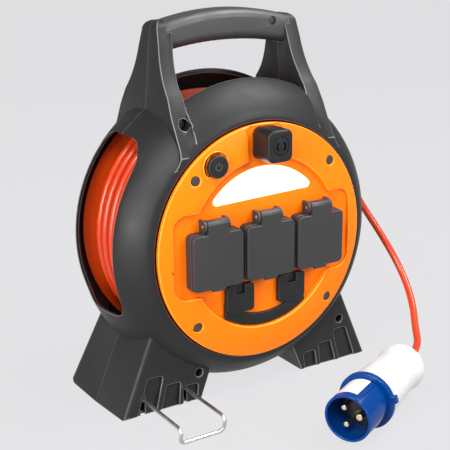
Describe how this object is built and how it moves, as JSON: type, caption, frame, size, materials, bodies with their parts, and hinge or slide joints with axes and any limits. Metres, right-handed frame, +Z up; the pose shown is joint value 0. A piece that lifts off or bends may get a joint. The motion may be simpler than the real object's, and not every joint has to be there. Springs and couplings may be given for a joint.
{
  "type": "extension cord reel",
  "caption": "Free-standing drum reel with a round housing, carry grip, splayed feet, covered outlets, work light, winding knob, wire stand, free cord and industrial plug.",
  "frame": {"origin": "centre of the standing reel's box, without the cord and plug, on the floor", "axes": "+X to the right of the outlets, +Y from the orange face to the back, +Z up"},
  "size_m": [0.3508, 0.2899, 0.3695],
  "materials": {
    "housing_plastic": "fine matt moulding texture",
    "grip_plastic": "fine matt moulding texture",
    "orange_plastic": "satin moulding",
    "drum_plastic": "satin moulding",
    "cover_plastic": "satin moulding with rounded edges",
    "insert_plastic": "satin moulding",
    "cable_jacket": "smooth glossy jacket",
    "seal_rubber": "soft matt",
    "bright_wire": "polished",
    "steel": "zinc plated",
    "black_screw": "black oxide",
    "contact_metal": "nickel plated",
    "lens_white": "frosted",
    "board_green": "circuit board",
    "plug_blue": "satin moulding",
    "plug_white": "satin moulding"
  },
  "bodies": {
    "root": {"front_shell": "housing_plastic", "rear_shell": "housing_plastic", "grip_front": "grip_plastic", "grip_rear": "grip_plastic", "grip_screw": "black_screw", "housing_screws": "black_screw", "axle": "steel", "axle_nut": "steel", "thrust_washer": "steel", "stirrup_guide": "insert_plastic", "free_cord": "cable_jacket", "plug_body": "plug_white", "plug_shroud": "plug_blue", "plug_face": "insert_plastic", "plug_pins": "contact_metal", "plug_nut": "plug_white"},
    "stirrup": {"stirrup_wire": "bright_wire", "stirrup_stops": "steel"},
    "drum": {"face_plate": "orange_plastic", "drum_front": "drum_plastic", "drum_rear": "drum_plastic", "bearing_bush": "contact_metal", "winding_core": "cable_jacket", "cable_winding": "cable_jacket", "cord_gland": "insert_plastic", "terminal_block": "insert_plastic", "socket_frame_1": "cover_plastic", "socket_frame_2": "cover_plastic", "socket_frame_3": "cover_plastic", "socket_insert_1": "insert_plastic", "socket_insert_2": "insert_plastic", "socket_insert_3": "insert_plastic", "earth_clips_1": "contact_metal", "earth_clips_2": "contact_metal", "earth_clips_3": "contact_metal", "hinge_pin_1": "steel", "hinge_pin_2": "steel", "hinge_pin_3": "steel", "flap_spring_1": "steel", "flap_spring_2": "steel", "flap_spring_3": "steel", "lamp_lens": "lens_white", "lamp_tray": "plug_white", "led_board": "board_green", "switch_body": "insert_plastic", "button_spring": "steel", "parking_bracket": "cover_plastic", "face_screws": "black_screw", "knob_pin": "steel"},
    "cover_1": {"socket_flap_1": "cover_plastic", "flap_seal_1": "seal_rubber"},
    "cover_2": {"socket_flap_2": "cover_plastic", "flap_seal_2": "seal_rubber"},
    "cover_3": {"socket_flap_3": "cover_plastic", "flap_seal_3": "seal_rubber"},
    "button": {"light_button": "cover_plastic"},
    "knob": {"winding_knob": "cover_plastic", "knob_cap": "cover_plastic"}
  },
  "joints": [
    {"name": "drum_spin", "type": "hinge", "parent": "root", "child": "drum", "pos_m": [0, 0.029, 0.156], "axis": [0, 1, 0], "continuous": true},
    {"name": "knob_spin", "type": "hinge", "parent": "drum", "child": "knob", "pos_m": [0, -0.056, 0.2526], "axis": [0, 1, 0], "continuous": true},
    {"name": "button_press", "type": "slide", "parent": "drum", "child": "button", "axis": [0, 1, 0], "range_m": [0, 0.0018], "stiffness_N_per_m": 400, "springref_m": -0.0006, "deforming": ["button_spring"]},
    {"name": "stirrup_slide", "type": "slide", "parent": "root", "child": "stirrup", "axis": [0, 1, 0], "range_m": [0, 0.055]},
    {"name": "cover_1_hinge", "type": "hinge", "parent": "drum", "child": "cover_1", "pos_m": [-0.0582, -0.0493, 0.1839], "axis": [-1, 0, 0], "range_deg": [0, 105], "stiffness_Nm_per_rad": 0.012, "springref_deg": -28.65},
    {"name": "cover_2_hinge", "type": "hinge", "parent": "drum", "child": "cover_2", "pos_m": [0, -0.0493, 0.1839], "axis": [-1, 0, 0], "range_deg": [0, 105], "stiffness_Nm_per_rad": 0.012, "springref_deg": -28.65},
    {"name": "cover_3_hinge", "type": "hinge", "parent": "drum", "child": "cover_3", "pos_m": [0.0582, -0.0493, 0.1839], "axis": [-1, 0, 0], "range_deg": [0, 105], "stiffness_Nm_per_rad": 0.012, "springref_deg": -28.65}
  ]
}
